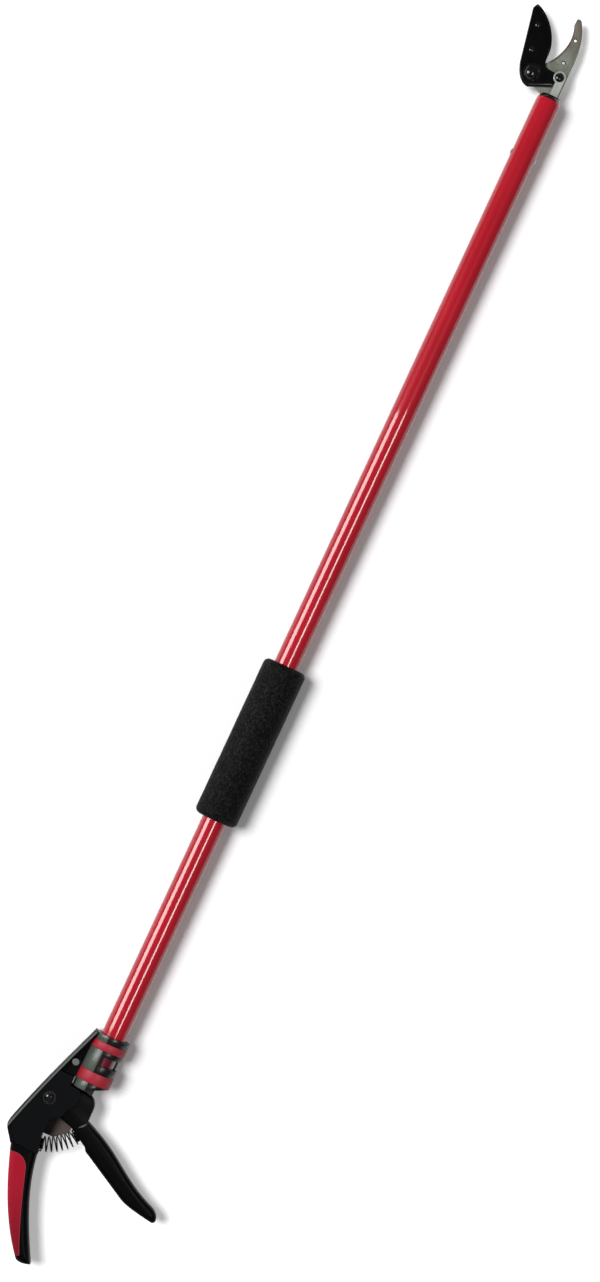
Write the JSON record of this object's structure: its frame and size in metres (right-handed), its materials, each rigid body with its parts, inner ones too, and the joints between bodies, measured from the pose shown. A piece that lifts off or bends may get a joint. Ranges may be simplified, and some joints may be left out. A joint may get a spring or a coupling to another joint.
{
  "type": "long reach pruner pole",
  "caption": "Long tube with foam sleeve, pistol grip whose trigger pulls a rod inside the tube, and a bypass cutting head that cuts a branch and holds it.",
  "frame": {"origin": "on the axis of the pole tube at the middle of the foam sleeve, where the second hand holds it", "axes": "+X along the tube to the cutting head, +Z out of the flat of the head towards its front, +Y to the side of the blade and of the fixed grip"},
  "size_m": [1.1721, 0.1509, 0.039],
  "materials": {
    "tube_paint": "gloss red paint",
    "foam": "matte closed cell foam",
    "housing": "satin moulded black",
    "cover": "fine grained dark grey",
    "grip_black": "satin moulded black",
    "grip_red": "soft matte red",
    "collar_grey": "glossy dark grey",
    "band_red": "glossy red",
    "plug": "moulded black",
    "guide": "moulded natural white",
    "hook_steel": "satin plated",
    "link_steel": "bright plated",
    "blade_black": "gloss black coating",
    "bolt_black": "gloss black",
    "spring_wire": "nickel plated wire",
    "fastener": "zinc plated",
    "bush": "turned"
  },
  "bodies": {
    "pole": {"pole_tube": "tube_paint", "foam_grip": "foam", "handle_frame": "housing", "side_cover": "cover", "grip_core": "grip_black", "grip_inlay": "grip_red", "clamp_collar": "collar_grey", "collar_bands": "band_red", "head_plug": "plug", "rod_guides": "guide", "hook_plate": "hook_steel", "blade_pivot_bolt": "bolt_black", "trigger_pivot_bolt": "bolt_black", "trigger_spring": "spring_wire", "blade_pivot_washer": "fastener", "blade_pivot_nut": "fastener", "trigger_pivot_washer": "fastener", "trigger_pivot_nut": "fastener", "head_rivets": "fastener", "head_screws": "fastener", "cover_screws": "fastener", "tube_screws": "fastener", "trigger_bush": "bush"},
    "trigger": {"trigger_lever": "grip_black"},
    "pull_rod": {"pull_rod": "link_steel", "rod_eye": "link_steel", "rod_pin": "link_steel", "rod_coupler": "link_steel", "pull_link": "link_steel", "link_screws": "fastener", "link_bolt": "bolt_black"},
    "blade": {"cutting_blade": "blade_black", "hold_plate": "hook_steel", "hold_rivets": "bolt_black"}
  },
  "joints": [
    {"name": "trigger_squeeze", "type": "hinge", "parent": "pole", "child": "trigger", "pos_m": [-0.348, 0.028, 0], "axis": [0, 0, -1], "range_deg": [0, 30], "stiffness_Nm_per_rad": 1.2, "springref_deg": -17.19, "deforming": ["trigger_spring"]},
    {"name": "rod_slide", "type": "slide", "parent": "pole", "child": "pull_rod", "axis": [-1, 0, 0], "range_m": [0, 0.0151]},
    {"name": "blade_close", "type": "hinge", "parent": "pole", "child": "blade", "pos_m": [0.6255, 0.0235, 0], "axis": [0, 0, -1], "range_deg": [0, 35.2]}
  ],
  "couplings": [
    {"joint": "rod_slide", "follows": "trigger_squeeze", "m_per_rad": 0.028658},
    {"joint": "blade_close", "follows": "trigger_squeeze", "ratio": 1.1709}
  ]
}
